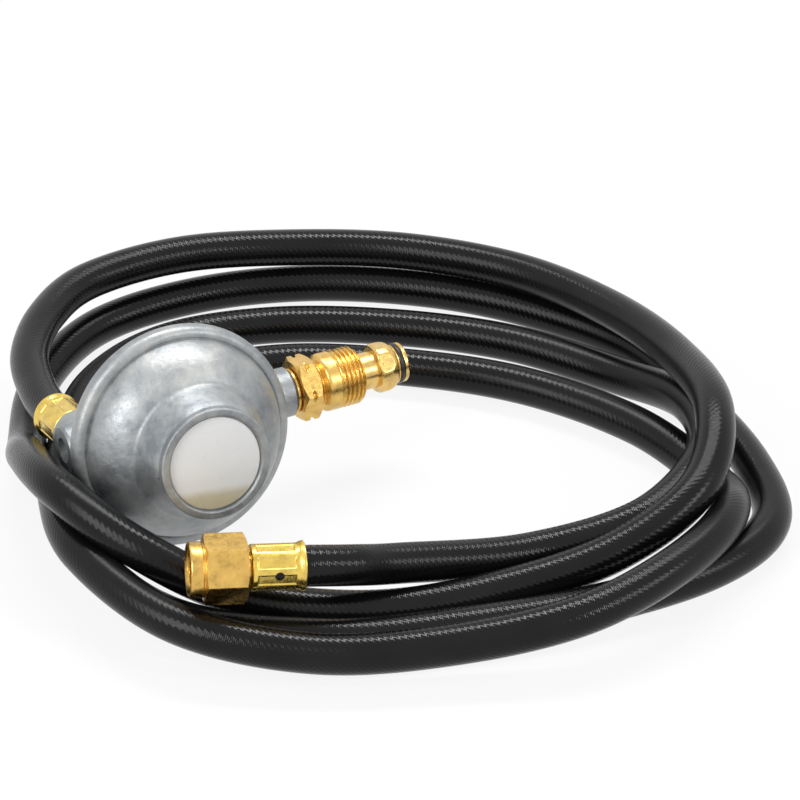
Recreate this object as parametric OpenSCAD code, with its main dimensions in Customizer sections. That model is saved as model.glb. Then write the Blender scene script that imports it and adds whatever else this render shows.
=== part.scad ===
// Low-pressure propane regulator with a left-hand cylinder fitting, a coil of
// gas hose and a swivel flare nut.  Millimetres.
// +X runs out of the cylinder fitting, -Y is the labelled face, +Z is up.
// The regulator stands on its rolled rim, leaning back by face_lean, and the
// origin is the middle of its foot, without the hose.

/* [Regulator case] */
// Outside diameter of the rolled rim
rim_d = 85; // [80:0.5:95]
// Thickness of the rolled rim
rim_t = 8; // [7:0.5:10]
// Rounding of the rim's edges
rim_round = 3; // [1:0.5:3.5]
// How far the face leans back from upright, degrees
face_lean = 12.4; // [0:0.1:25]
// Diameter where the dome leaves the rim
dome_d = 76; // [72:0.5:77]
// Radius of the dome's curve
dome_round = 22.9; // [21:0.1:26]
// Angle of the dome's curve at the rim
dome_from = 14.4; // [10:0.1:18]
// Angle of the dome's curve at the tower
dome_to = 59.4; // [54:0.1:64]
// Wall of the bonnet
bonnet_wall = 2.4; // [2:0.1:3]
// Thickness of the metal rolled under the flange
lip_t = 1.7; // [1.2:0.1:2.2]
// Outside diameter of the spring tower at its mouth
tower_d = 42.5; // [41:0.5:46]
// Height of the tower's mouth above the middle of the rim
tower_h = 35; // [34:0.5:38]
// Height of the tower's cone where it meets the mouth ring
ring_from = 31; // [29:0.5:32]
// Diameter of the spring chamber in the tower
chamber_d = 41; // [36:0.5:43]
// Diameter of the vent hole
vent_d = 1.3; // [0.8:0.1:2]
// Place of the vent hole round the tower, degrees
vent_turn = 183; // [0:1:359]
// Depth of the bowl behind the middle of the rim, outside
bowl_depth = 25.5; // [25:0.5:30]
// Inside diameter of the bowl at its mouth
bowl_bore = 65; // [62:0.5:66]
// Wall of the bowl
bowl_wall = 2.8; // [2.4:0.1:3]

/* [Bosses] */
// Distance of the inlet line behind the middle of the rim
inlet_back = 14; // [13.5:0.1:15]
// Diameter of the inlet and blank bosses
boss_d = 19; // [17:0.5:19]
// Face of the inlet boss from the middle of the case
inlet_face = 50.4; // [48:0.1:56]
// Face of the blank boss from the middle of the case
blank_face = 41; // [40:0.5:46]
// Diameter of the recess in the blank boss
blank_recess_d = 9.6; // [6:0.1:12]
// Depth of the recess in the blank boss
blank_recess = 3; // [1:0.5:4]
// Distance of the outlet line from the middle of the case
outlet_off = 31; // [28:0.5:32]
// Face of the outlet boss behind the middle of the rim
outlet_face = 27; // [26.5:0.5:32]
// Thread diameter in the inlet and outlet bosses
boss_thread_d = 12.9; // [11:0.1:13.5]
// Depth of the thread in the inlet boss
inlet_thread_l = 14.4; // [12:0.1:16]
// Length of the tail's thread in the outlet boss
tail_thread_l = 9.6; // [8:0.1:10]

/* [Label and adjuster] */
// Diameter of the label
label_d = 35; // [34:0.5:36]
// Thickness of the label
label_t = 0.4; // [0.2:0.1:0.8]
// How deep the label's face lies below the tower's mouth
label_deep = 1.5; // [1:0.1:2]
// Diameter of the adjusting plug's thread
plug_d = 32; // [28:0.5:33]
// Thickness of the adjusting plug
plug_t = 6.6; // [5:0.1:7]
// Thread pitch of the adjusting plug
plug_pitch = 1.5; // [1:0.25:2]
// Width across flats of the plug's hexagon socket
plug_socket = 10; // [6:0.5:12]
// Diameter of the spring button
button_d = 25; // [22:0.5:26]
// Thickness of the spring button
button_t = 2.4; // [1.5:0.1:3]

/* [Spring and diaphragm] */
// Wire diameter of the main spring
wire_d = 1.8; // [1.2:0.1:2.2]
// Mean diameter of the main spring
spring_d = 19; // [17:0.5:20]
// Turns of the main spring
spring_turns = 6; // [4:0.5:8]
// Thickness of the diaphragm
diaphragm_t = 1.4; // [0.8:0.1:1.6]
// Height of the diaphragm's rolled bead
bead_r = 2.6; // [2:0.1:2.8]
// Diameter of the diaphragm plate
plate_d = 50; // [44:0.5:51]
// Thickness of the diaphragm plate
plate_t = 1.2; // [0.8:0.1:1.6]
// Diameter of the diaphragm stem below its flange
stem_post_d = 9; // [8:0.1:10]

/* [Lever and valve] */
// Distance of the lever pin from the stem
lever_reach = 15.5; // [14.5:0.1:16]
// Distance of the lever pin below the valve line
lever_rise = 5.6; // [5.4:0.1:5.8]
// Height of the lever's tip above the valve line
tip_rise = 5.2; // [5:0.1:5.4]
// Diameter of the lever pin
pin_d = 2.5; // [2:0.1:2.6]
// Width of the lever
lever_w = 4; // [3:0.1:4.4]
// Thickness of the lever's arms
lever_t = 1.6; // [1.2:0.1:1.6]
// Diameter of the valve plunger
plunger_d = 6.4; // [6:0.1:6.6]
// How far the valve stands open at rest
valve_gap = 0.9; // [0.9:0.1:1.2]
// Diameter of the orifice
orifice_d = 3; // [1.5:0.1:3.2]
// Distance of the orifice lip beyond the lever pin
orifice_off = 4.7; // [4.6:0.1:5]

/* [Cylinder fitting] */
// Width across flats of the cylinder nut
nut_af = 22.2; // [21:0.1:24]
// Length of the nut's hexagon
nut_hex_l = 7.6; // [6:0.1:9]
// Length of the neck and collar before the thread
nut_collar_l = 9.9; // [8:0.1:11]
// Outside diameter of the left-hand thread
nut_thread_d = 22.48; // [22:0.01:23]
// Length of the thread
nut_thread_l = 6.8; // [6:0.1:12]
// Length of the taper at the thread's end
nut_taper_l = 1.8; // [1:0.1:3]
// Diameter of the fitting's stem
stem_d = 14.4; // [13:0.1:15]
// Bare stem between the nut and the nose
stem_bare = 6.9; // [5:0.1:9]
// Diameter of the bull nose
nose_d = 19.2; // [18:0.1:20]
// Width across flats of the nose
nose_af = 17.8; // [16.5:0.1:18]
// Length of the nose up to the O-ring groove
nose_l = 8.6; // [7:0.1:10]
// Length of the tip in front of the O-ring
tip_l = 2; // [1.5:0.1:3]
// Diameter of the O-ring's cord
ring_cord = 2; // [1.6:0.1:2.4]
// Gas bore of the cylinder fitting
pol_bore = 5; // [3:0.5:7]

/* [Hose] */
// Outside diameter of the hose
hose_d = 15; // [12:0.5:16]
// Bore of the hose
hose_bore = 8; // [6:0.5:9]
// Rings of the hose along the coil
hose_rings = 80; // [60:1:90]
// Sides of the hose
hose_sides = 10; // [8:1:12]
// Turn of the coil against the regulator, degrees
coil_turn = 26.2; // [20:0.1:32]

/* [Ferrules and tails] */
// Length of a ferrule
ferrule_l = 19.6; // [16:0.1:24]
// Wall of a ferrule
ferrule_wall = 0.85; // [0.6:0.05:1.2]
// Flare of a ferrule's mouth beyond its body
mouth_flare = 0.8; // [0:0.1:1.2]
// Crimp panels round a ferrule
panels = 8; // [6:1:10]
// Depth of a crimp panel
panel_deep = 0.4; // [0.2:0.1:0.5]
// Diameter of the inspection hole in the free ferrule
sight_d = 2; // [1:0.1:3]
// Bore of the hose tails
tail_bore = 4.8; // [3:0.1:5]
// Barbs on a hose tail
barbs = 5; // [3:1:7]
// Diameter of the outlet tail's flange
tail_flange_d = 16; // [14:0.5:17]
// Thickness of the outlet tail's flange
tail_flange_t = 1.3; // [1:0.1:1.3]

/* [Flare nut] */
// Width across flats of the flare nut
flare_af = 22.2; // [19:0.1:23]
// Length of the flare nut's hexagon
flare_hex_l = 15.2; // [12:0.1:18]
// Diameter of the collar at the nut's mouth
flare_collar_d = 20; // [18.5:0.1:20]
// Length of the collar
flare_collar_l = 5.4; // [4:0.1:8]
// Thread diameter of the flare nut
flare_thread_d = 15.88; // [15:0.01:17]
// Depth of the thread from the nut's mouth
flare_thread_l = 13; // [10:0.1:14]
// Turn of the flare nut's hexagon, degrees
flare_roll = 3; // [0:1:59]

/* [Fits] */
// Running clearance of a turning or sliding fit, on the radius
run_gap = 0.05; // [0.02:0.01:0.1]
// Clearance between parts that only lie together
lay_gap = 0.1; // [0.05:0.05:0.3]

/* [Hidden] */
$fn = 72;

rim_r = rim_d / 2;
half_t = rim_t / 2;
flange_t = half_t - lip_t - lay_gap;      // casting's flange, under the diaphragm
flange_r = rim_r - 3.2;
bowl_r = bowl_bore / 2 + bowl_wall;
floor_z = bowl_wall + 0.2 - bowl_depth;    // inside floor of the bowl
dome_mid = [dome_d / 2 - dome_round * cos(dome_from),
            half_t + 0.5 - dome_round * sin(dome_from)];
cone_r = dome_mid[0] + dome_round * cos(dome_to);
cone_z = dome_mid[1] + dome_round * sin(dome_to);
inner_round = dome_round - bonnet_wall;

label_z = tower_h - label_deep - label_t;  // back of the label
plug_r = plug_d / 2;
plug_z = label_z - 2.7 - plug_t;           // bottom of the adjusting plug
button_z = plug_z - button_t;              // bottom of the button's flange
plate_z = diaphragm_t;
spring_r = spring_d / 2;

pin_z = -inlet_back - lever_rise;
tip_z = -inlet_back + tip_rise;
tip_r = 1.45;
finger_r = 1.2;
post_top = pin_z + pin_d / 2;
orifice_x = lever_reach + orifice_off;     // orifice lip from the stem
nozzle_r = 5.2;                            // nozzle's thread
nozzle_end = inlet_face - inlet_thread_l - 1.4;
seat_x = orifice_x - valve_gap;            // face of the seat at rest
plunger_back = plunger_d / 2 + 1.3;        // plunger behind the lever's finger
screw_d = 2;                               // pin screws
screw_head_d = 5.2;
screw_x = lever_reach + pin_d / 2 + screw_head_d / 2 - 0.45;
screw_y = 7.5;

nut_x = inlet_face + 1.8;                  // back of the cylinder nut
collar_x = nut_x + nut_hex_l + 2.9;
thread_x = nut_x + nut_hex_l + nut_collar_l;
nut_end = thread_x + nut_thread_l + nut_taper_l;
nose_x = nut_end + stem_bare;
groove_x = nose_x + nose_l;
tip_x = groove_x + ring_cord + 0.2 + tip_l;

ferrule_r = hose_d / 2 + lay_gap + ferrule_wall;
mouth_r = ferrule_r + mouth_flare;
stem_r = hose_bore / 2 * cos(180 / hose_sides) - lay_gap;
outlet_mouth = outlet_face + tail_flange_t + lay_gap + ferrule_l;
nut_back = ferrule_l + 1.2;                // back of the flare nut
nut_wall = 2.7;
nut_mouth = nut_back + flare_hex_l + flare_collar_l;
neck_r = 5.5;
seat_z = nut_mouth - flare_thread_l;       // front of the flare seat

// Place of the middle of the rim, so that the foot's box is centred on the origin
body_x = (rim_r - tip_x) / 2;
front_y = tower_h * cos(face_lean) + (tower_d / 2 - 1) * sin(face_lean);
back_y = outlet_mouth * cos(face_lean) + mouth_r * sin(face_lean);
body_y = (front_y - back_y) / 2;
body_z = (rim_r - rim_round) * cos(face_lean) + (half_t - rim_round) * sin(face_lean) + rim_round;

// The coil lies in a frame of its own, where the middle of the rim is at coil_rim.
// Each row is [x, y, z]: off the outlet, up over the back of the coil and round.
coil_rim = [-81, -88];
coil = [
    [-138, -39, 29], [-144, -12, 28], [-140, 18, 28], [-125, 45, 28], [-90, 67, 27],
    [-46, 78, 24], [2, 77, 23], [48, 59, 24], [83, 24, 28], [106, -19, 34],
    [117, -70, 42], [109, -109, 33], [78, -130, 19], [35, -142, 10], [-11, -151, 8],
    [-57, -148, 12], [-95, -141, 29], [-123, -119, 38], [-138, -83, 28], [-143, -46, 10],
    [-142, 0, 8], [-123, 41, 8], [-85, 66, 8], [-38, 76, 8], [12, 71, 8],
    [56, 54, 8], [94, 26, 8], [117, -15, 8], [134, -57, 8], [138, -95, 8],
    [116, -124, 8], [72, -147, 8], [23, -161, 8], [-25, -168, 8], [-77, -158, 8],
    [-110, -124, 8], [-116, -79, 8], [-109, -38, 8], [-87, 0, 8], [-46, 15, 8],
    [5, 11, 8], [51, -3, 8], [92, -31, 8], [117, -66, 8], [121, -108, 22],
    [102, -142, 24], [66, -169, 20], [20, -179, 14], [-30, -183, 13], [-79, -172, 18],
    [-115, -135, 22], [-127, -94, 19], [-129, -56, 8], [-122, -5, 8], [-96, 29, 8],
    [-54, 43, 8], [-5, 42, 8], [44, 30, 8], [86, 4, 9], [111, -33, 20],
    [114, -75, 25], [90, -108, 19], [47, -121, 12], [0, -140, 21], [-18, -151, 28]
];
// Mouth of the free ferrule in the coil's frame, and the way its axis points
flare_at = [-34, -157, 32];
flare_yaw = 190;
flare_rise = 4.6;

function from_coil(q) = [
    body_x + (q[0] - coil_rim[0]) * cos(coil_turn) + (q[1] - coil_rim[1]) * sin(coil_turn),
    body_y - (q[0] - coil_rim[0]) * sin(coil_turn) + (q[1] - coil_rim[1]) * cos(coil_turn),
    q[2]];
function from_case(q) = [
    body_x + q[0],
    body_y + q[1] * sin(face_lean) - q[2] * cos(face_lean),
    body_z + q[1] * cos(face_lean) + q[2] * sin(face_lean)];
flare_dir = [cos(flare_rise) * cos(flare_yaw - coil_turn),
             cos(flare_rise) * sin(flare_yaw - coil_turn), sin(flare_rise)];
flare_p = from_coil(flare_at);

// ---- helpers ---------------------------------------------------------------

// Case frame: X to the cylinder fitting, Y up the face, Z out of the face
module on_case() {
    translate([body_x, body_y, body_z]) rotate([90 - face_lean, 0, 0]) children();
}
// Inlet line: Z out along the cylinder fitting, X towards the back of the case
module on_inlet() {
    on_case() translate([0, 0, -inlet_back]) rotate([0, 90, 0]) children();
}
// Outlet line: Z backwards out of the case
module on_outlet() {
    on_case() translate([-outlet_off, 0, 0]) rotate([180, 0, 0]) children();
}
// Free end of the hose: Z from the ferrule's mouth to the nut's mouth
module on_flare() {
    translate(flare_p) rotate([0, 0, flare_yaw - coil_turn]) rotate([0, 90 - flare_rise, 0])
        children();
}

// Points along an arc, from angle a to angle b
function arc(mid, r, a, b, n) =
    [for (i = [0:n]) let (t = a + (b - a) * i / n) mid + r * [cos(t), sin(t)]];

// Ring between two radii
module tube(r_out, r_in, z0, z1) {
    difference() {
        translate([0, 0, z0]) cylinder(h = z1 - z0, r = r_out);
        translate([0, 0, z0 - 1]) cylinder(h = z1 - z0 + 2, r = r_in);
    }
}

// Hexagon bar with its corners turned off at one or both ends
module hex_bar(af, len, low, high) {
    ac = af / cos(30);
    intersection() {
        cylinder(h = len, d = ac, $fn = 6);
        rotate_extrude() polygon([[0, 0],
            [low ? af / 2 : ac, 0], [ac / 2 + 0.1, low ? (ac - af) * 0.36 : 0],
            [ac / 2 + 0.1, high ? len - (ac - af) * 0.36 : len],
            [high ? af / 2 : ac, len], [0, len]]);
    }
}

// ---- regulator case --------------------------------------------------------

// Cast boss with a soft edge round its face, which is at z = 0
module boss(len) {
    cylinder(h = 0.9, d1 = boss_d - 1.6, d2 = boss_d);
    translate([0, 0, 0.9]) cylinder(h = len - 0.9, d = boss_d);
}

module body_casting() {
    color("slategray") on_case() difference() {
        union() {
            rotate_extrude() polygon(concat(
                [[0, -bowl_depth], [bowl_r - 14, -bowl_depth]],
                arc([bowl_r - 14, -bowl_depth + 14], 14, -80, 0, 8),
                [[bowl_r, -flange_t], [flange_r, -flange_t], [flange_r, 0], [0, 0]]));
            // inlet boss, blank boss and outlet boss
            translate([inlet_face, 0, -inlet_back]) rotate([0, -90, 0])
                boss(inlet_face - bowl_r + 12);
            translate([-blank_face, 0, -inlet_back]) rotate([0, 90, 0]) boss(14);
            translate([-outlet_off, 0, -outlet_face]) boss(outlet_face - inlet_back);
            for (s = [-1, 1]) translate([0, 0, -inlet_back]) rotate([0, s * 90, 0])
                translate([0, 0, bowl_r - 5]) cylinder(h = 5, d1 = boss_d + 5, d2 = boss_d);
        }
        // bowl
        difference() {
            rotate_extrude() polygon(concat(
                [[0, floor_z]],
                arc([bowl_bore / 2 - 10, floor_z + 10], 10, -90, 0, 8),
                [[bowl_bore / 2, 1], [0, 1]]));
            // pads left standing for the lever pin
            for (s = [-1, 1]) translate([lever_reach - 3, s * 6.9 - 3.5, floor_z - 1])
                cube([screw_x - lever_reach + 6, 7, post_top - floor_z + 1]);
            // inside end of the outlet boss
            translate([-outlet_off, 0, -outlet_face])
                cylinder(h = outlet_face - inlet_back - 2, d = boss_d);
        }
        // pin groove and screw holes
        translate([lever_reach, 0, pin_z]) {
            rotate([90, 0, 0]) cylinder(h = 19.4, d = pin_d + 2 * run_gap, center = true);
            translate([-pin_d / 2 - run_gap, -9.7, 0]) cube([pin_d + 2 * run_gap, 19.4, 4]);
        }
        for (s = [-1, 1]) translate([screw_x, s * screw_y, floor_z - 1.5])
            cylinder(h = post_top - floor_z + 4, d = screw_d + 2 * run_gap);
        // inlet: cylinder fitting's thread, then the nozzle's
        translate([0, 0, -inlet_back]) rotate([0, 90, 0]) {
            translate([0, 0, inlet_face - inlet_thread_l])
                cylinder(h = inlet_thread_l + 1, d = boss_thread_d + 2 * run_gap);
            translate([0, 0, orifice_x + 3.8])
                cylinder(h = inlet_face - orifice_x, r = nozzle_r + run_gap);
        }
        // outlet: tail's thread, then a passage to the bowl
        translate([-outlet_off, 0, -outlet_face - 1]) {
            cylinder(h = tail_thread_l + 1.4, d = boss_thread_d + 2 * run_gap);
            cylinder(h = outlet_face - inlet_back + 1, r = 3.2);
        }
        // recess of the blank boss
        translate([-blank_face - 1, 0, -inlet_back]) rotate([0, 90, 0])
            cylinder(h = blank_recess + 1, d = blank_recess_d);
    }
}

module bonnet() {
    pocket_r = flange_r + 0.2;
    color("silver") on_case() difference() {
        rotate_extrude() polygon(concat(
            [[bowl_r + 0.7, -half_t]],
            arc([rim_r - rim_round, -half_t + rim_round], rim_round, -90, 0, 5),
            arc([rim_r - rim_round, half_t - rim_round], rim_round, 0, 90, 5),
            [[dome_d / 2 + 0.7, half_t], [dome_d / 2 + 0.1, half_t - 0.4]],
            arc(dome_mid, dome_round, dome_from, dome_to, 9),
            [[cone_r - 1.4, cone_z + 0.9], [cone_r - 2.6, cone_z + 2.6],
             [tower_d / 2 + 0.9, ring_from - 1], [tower_d / 2 + 0.35, ring_from + 0.2],
             [tower_d / 2, ring_from + 1], [tower_d / 2, tower_h - 0.8],
             [tower_d / 2 - 0.8, tower_h], [label_d / 2 + 1, tower_h],
             [label_d / 2 + 0.3, tower_h - 0.6], [label_d / 2 + 0.3, label_z],
             [plug_r + run_gap, label_z], [plug_r + run_gap, button_z + 1],
             [chamber_d / 2, button_z + 1]],
            arc(dome_mid, inner_round, acos((chamber_d / 2 - dome_mid[0]) / inner_round), 18, 9),
            [[bowl_bore / 2 + 1, half_t], [bowl_bore / 2 + 1, diaphragm_t],
             [pocket_r, diaphragm_t], [pocket_r, -flange_t - lay_gap],
             [bowl_r + 0.7, -flange_t - lay_gap]]));
        // vent
        rotate([0, 0, vent_turn]) translate([plug_r - 1, 0, ring_from + 0.6]) rotate([0, 90, 0])
            cylinder(h = 9, d = vent_d);
    }
}

module label_disc() {
    color("white") on_case() translate([0, 0, label_z]) cylinder(h = label_t, d = label_d);
}

// ---- adjuster --------------------------------------------------------------

module adjuster_plug() {
    color("gray") on_case() difference() {
        translate([0, 0, plug_z]) cylinder(h = plug_t, r = plug_r);
        translate([0, 0, plug_z - 1]) cylinder(h = plug_t + 2, d = plug_socket / cos(30), $fn = 6);
        translate([0, 0, plug_z + 2.4]) rotate_extrude()
            polygon([[8, 0], [plug_r - 3, 0], [plug_r - 2, plug_t], [8, plug_t]]);
    }
}

module spring_button() {
    color("darkgray") on_case() {
        translate([0, 0, button_z]) cylinder(h = button_t, d = button_d);
        translate([0, 0, button_z - 2]) cylinder(h = 2, r = spring_r - wire_d / 2 - 0.5);
    }
}

// Round wire wound from the plate to the button
module main_spring() {
    sides = 8;
    steps = round(spring_turns * 18);
    z0 = plate_z + plate_t + wire_d / 2 + 0.05;
    z1 = button_z - wire_d / 2 - 0.05;
    ring = [for (i = [0:steps]) for (k = [0:sides - 1])
        let (a = 360 * spring_turns * i / steps, b = 360 * k / sides,
             r = spring_r + wire_d / 2 * cos(b))
        [r * cos(a), r * sin(a), z0 + (z1 - z0) * i / steps + wire_d / 2 * sin(b)]];
    color("lightsteelblue") on_case() polyhedron(points = ring, convexity = 12,
        faces = concat(
            [[for (k = [0:sides - 1]) k]],
            [for (i = [0:steps - 1]) for (k = [0:sides - 1]) for (h = [0, 1])
                let (a = i * sides + k, b = i * sides + (k + 1) % sides)
                h == 0 ? [a, a + sides, b] : [b, a + sides, b + sides]],
            [[for (k = [sides - 1:-1:0]) steps * sides + k]]));
}

// ---- diaphragm -------------------------------------------------------------

module diaphragm() {
    mid_r = (plate_d / 2 + bowl_bore / 2) / 2 + 0.6;
    mid = [mid_r, diaphragm_t / 2];
    out = bead_r + diaphragm_t / 2;
    lean = asin(diaphragm_t / 2 / out);
    color("dimgray") on_case() rotate_extrude() polygon(concat(
        [[3 + run_gap, 0], [mid_r - bead_r + diaphragm_t / 2, 0]],
        arc(mid, bead_r - diaphragm_t / 2, 180, 0, 8),
        [[mid_r + bead_r - diaphragm_t / 2, 0], [flange_r, 0], [flange_r, diaphragm_t]],
        arc(mid, out, lean, 180 - lean, 10),
        [[3 + run_gap, diaphragm_t]]));
}

module diaphragm_plate() {
    r = plate_d / 2;
    rib = spring_r + wire_d / 2 + 0.6;
    color("gainsboro") on_case() translate([0, 0, plate_z]) rotate_extrude() polygon([
        [3 + run_gap, 0], [r - 0.6, 0], [r, 0.6], [r, 2.6], [r - 1, 2.6], [r - 1, plate_t],
        [rib + 1, plate_t], [rib + 1, plate_t + 1], [rib, plate_t + 1], [rib, plate_t],
        [3 + run_gap, plate_t]]);
}

// Rivet through the diaphragm, with the window that takes the lever's tip
module diaphragm_stem() {
    slot_h = 2 * tip_r + 0.5;
    foot_z = tip_z - slot_h / 2 - 1.7;
    top_z = plate_z + plate_t;
    color("darkkhaki") on_case() difference() {
        rotate_extrude() polygon([
            [0, foot_z], [stem_post_d / 2, foot_z], [stem_post_d / 2, -1.2], [9, -1.2], [9, 0],
            [3, 0], [3, top_z], [5, top_z], [5, top_z + 0.8], [3.6, top_z + 1.6],
            [0, top_z + 1.6]]);
        translate([-6, -lever_w / 2 - 0.25, tip_z - slot_h / 2])
            cube([12, lever_w + 0.5, slot_h]);
    }
}

// ---- lever and valve -------------------------------------------------------

// Flat strip between two points of the lever's outline
module strip(p, q, t) {
    d = (q - p) / norm(q - p);
    s = t / 2 * [-d[1], d[0]];
    polygon([p + s, p - s, q - s, q + s]);
}

module lever() {
    pin = [lever_reach, pin_z];
    knee = [lever_reach - 8.5, pin_z - 0.6];
    top = [lever_reach - 8.7, tip_z];
    color("lightgray") on_case() rotate([90, 0, 0]) difference() {
        linear_extrude(height = lever_w, center = true) union() {
            translate(pin) circle(r = pin_d / 2 + 0.85);
            strip(pin, knee, lever_t);
            strip(knee, top, lever_t);
            strip(top, [0, tip_z], lever_t);
            for (q = [knee, top]) translate(q) circle(d = lever_t);
            translate([0, tip_z]) circle(r = tip_r);
            strip(pin, [lever_reach, -inlet_back], 1.3);
            translate([lever_reach, -inlet_back]) circle(r = finger_r);
        }
        translate([pin[0], pin[1], -lever_w]) cylinder(h = 2 * lever_w, r = pin_d / 2 + run_gap);
    }
}

module lever_pin() {
    color("silver") on_case() translate([lever_reach, 0, pin_z]) rotate([90, 0, 0])
        cylinder(h = 19, d = pin_d, center = true);
}

module pin_screws() {
    color("dimgray") on_case() for (s = [-1, 1]) translate([screw_x, s * screw_y, 0])
        difference() {
            union() {
                translate([0, 0, floor_z - 1]) cylinder(h = post_top - floor_z + 1.5, d = screw_d);
                translate([0, 0, post_top + run_gap]) cylinder(h = 1.8, d = screw_head_d);
            }
            translate([-screw_head_d, -0.3, post_top + 1.2]) cube([2 * screw_head_d, 0.6, 2]);
        }
}

module valve_plunger() {
    r = plunger_d / 2;
    color("goldenrod") on_inlet() difference() {
        translate([0, 0, lever_reach - plunger_back])
            cylinder(h = seat_x - lever_reach + plunger_back, r = r);
        translate([-finger_r - 0.1, -r - 1, lever_reach - finger_r - run_gap])
            cube([2 * r, 2 * r + 2, 2 * finger_r + 2 * run_gap]);
        translate([0, 0, seat_x - 1.5]) cylinder(h = 2, r = r - 0.6);
    }
}

module valve_seat() {
    color("black") on_inlet() translate([0, 0, seat_x - 1.5])
        cylinder(h = 1.5, r = plunger_d / 2 - 0.6 - 0.02);
}

// Nozzle with the guide that the plunger slides in
module inlet_nozzle() {
    guide_in = plunger_d / 2 + run_gap;
    guide_out = guide_in + 1.55;
    color("gold") on_inlet() difference() {
        rotate_extrude() polygon([
            [orifice_d / 2, orifice_x], [orifice_d / 2 + 0.4, orifice_x],
            [orifice_d / 2 + 0.9, orifice_x + 0.9], [guide_in, orifice_x + 0.9],
            [guide_in, lever_reach - 3.5], [guide_out, lever_reach - 3.5],
            [guide_out, orifice_x + 1], [nozzle_r, orifice_x + 1.6], [nozzle_r, nozzle_end],
            [3, nozzle_end], [3, orifice_x + 5], [orifice_d / 2, orifice_x + 3.5]]);
        translate([0, -lever_w / 2 - 0.6, lever_reach - 4])
            cube([8, lever_w + 1.2, orifice_x - lever_reach + 3.6]);
    }
}

module inlet_screen() {
    z0 = nozzle_end + 0.1;
    color("lightgray") on_inlet() {
        tube(5.1, 3.4, z0, z0 + 1.2);
        for (i = [-2:2]) {
            translate([i * 1.3 - 0.2, -3.6, z0 + 0.3]) cube([0.4, 7.2, 0.4]);
            translate([-3.6, i * 1.3 - 0.2, z0 + 0.5]) cube([7.2, 0.4, 0.4]);
        }
    }
}

// ---- cylinder fitting ------------------------------------------------------

module pol_spigot() {
    shank_x = inlet_face - inlet_thread_l + lay_gap;
    color("gold") on_inlet() difference() {
        union() {
            rotate_extrude() polygon([
                [0, shank_x], [boss_thread_d / 2 - 0.6, shank_x],
                [boss_thread_d / 2, shank_x + 0.6], [boss_thread_d / 2, inlet_face],
                [8.6, inlet_face], [8.6, nut_x - 0.3], [stem_d / 2, nut_x - 0.3],
                [stem_d / 2, nose_x + 1], [0, nose_x + 1]]);
            // nose: a hexagon turned round towards the front
            intersection() {
                translate([0, 0, nose_x]) cylinder(h = tip_x, d = nose_af / cos(30), $fn = 6);
                rotate_extrude() polygon(concat(
                    [[0, nose_x], [nose_d / 2 - 0.7, nose_x], [nose_d / 2, nose_x + 0.9],
                     [nose_d / 2, nose_x + 0.42 * nose_l]],
                    arc([nose_d / 2 - 6, nose_x + 0.42 * nose_l], 6, 6, 54, 6),
                    [[nose_af / 2 - 1.2, groove_x], [0, groove_x]]));
            }
            // O-ring groove and tip
            rotate_extrude() polygon([
                [0, groove_x - 0.1], [5.9, groove_x - 0.1], [5.9, groove_x + ring_cord + 0.2],
                [7.7, groove_x + ring_cord + 0.2], [7.4, tip_x - 0.7], [6.6, tip_x], [0, tip_x]]);
        }
        translate([0, 0, shank_x - 1]) cylinder(h = tip_x, d = pol_bore);
        translate([0, 0, tip_x - 1.4]) cylinder(h = 2, r = 4.6);
    }
}

module pol_nut() {
    color("goldenrod") on_inlet() translate([0, 0, nut_x]) difference() {
        union() {
            difference() {
                hex_bar(nut_af, nut_hex_l, true, true);
                // left-hand thread marks across the corners
                for (a = [0:60:300]) rotate([0, 0, a])
                    translate([nut_af / 2 / cos(30) - 0.7, -3, nut_hex_l / 2 - 0.5])
                        cube([3, 6, 1]);
            }
            rotate_extrude() polygon([
                [0, nut_hex_l - 0.5], [nut_thread_d / 2 - 0.3, nut_hex_l - 0.5],
                [nut_thread_d / 2 - 2.6, nut_hex_l + 1.3], [nut_thread_d / 2 - 0.2, collar_x - nut_x],
                [nut_thread_d / 2, thread_x - nut_x], [nut_thread_d / 2, thread_x - nut_x + nut_thread_l],
                [nut_thread_d / 2 - 1.5, nut_end - nut_x], [0, nut_end - nut_x]]);
        }
        translate([0, 0, -1]) cylinder(h = nut_end, r = stem_d / 2 + run_gap);
    }
}

module nose_o_ring() {
    color("black") on_inlet() translate([0, 0, groove_x + 0.1 + ring_cord / 2]) rotate_extrude()
        translate([5.95 + ring_cord / 2, 0]) circle(d = ring_cord, $fn = 24);
}

// ---- ferrules and tails ----------------------------------------------------

// Crimped shell: mouth at z = 0, closed end at z = ferrule_l
module ferrule(sight) {
    panel_w = 2 * ferrule_r * tan(180 / panels) * 0.82;
    difference() {
        rotate_extrude() polygon([
            [hose_d / 2 + lay_gap, 0], [mouth_r, 0], [mouth_r, 1.1], [ferrule_r, 2.8],
            [ferrule_r, ferrule_l - 0.8], [ferrule_r - 0.8, ferrule_l], [stem_r + lay_gap, ferrule_l],
            [stem_r + lay_gap, ferrule_l - 1], [hose_d / 2 + lay_gap, ferrule_l - 1]]);
        for (i = [0:panels - 1]) rotate([0, 0, 360 * (i + 0.5) / panels])
            translate([ferrule_r - panel_deep, -panel_w / 2, 3.6])
                cube([3, panel_w, ferrule_l - 5.6]);
        if (sight) rotate([0, 0, 105]) translate([0, 0, 6]) rotate([0, 90, 0])
            cylinder(h = mouth_r + 1, d = sight_d);
    }
}

// Outline of a barbed stem from z0 to z1, for a revolve
function barbed(z0, z1) = let (p = (z1 - z0) / barbs)
    [for (i = [0:barbs - 1]) each [[stem_r - 0.35, z0 + i * p], [stem_r, z0 + (i + 0.8) * p],
                                   [stem_r, z0 + (i + 1) * p]]];

module outlet_ferrule() {
    color("gold") on_outlet() translate([0, 0, outlet_mouth]) mirror([0, 0, 1]) ferrule(false);
}

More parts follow.
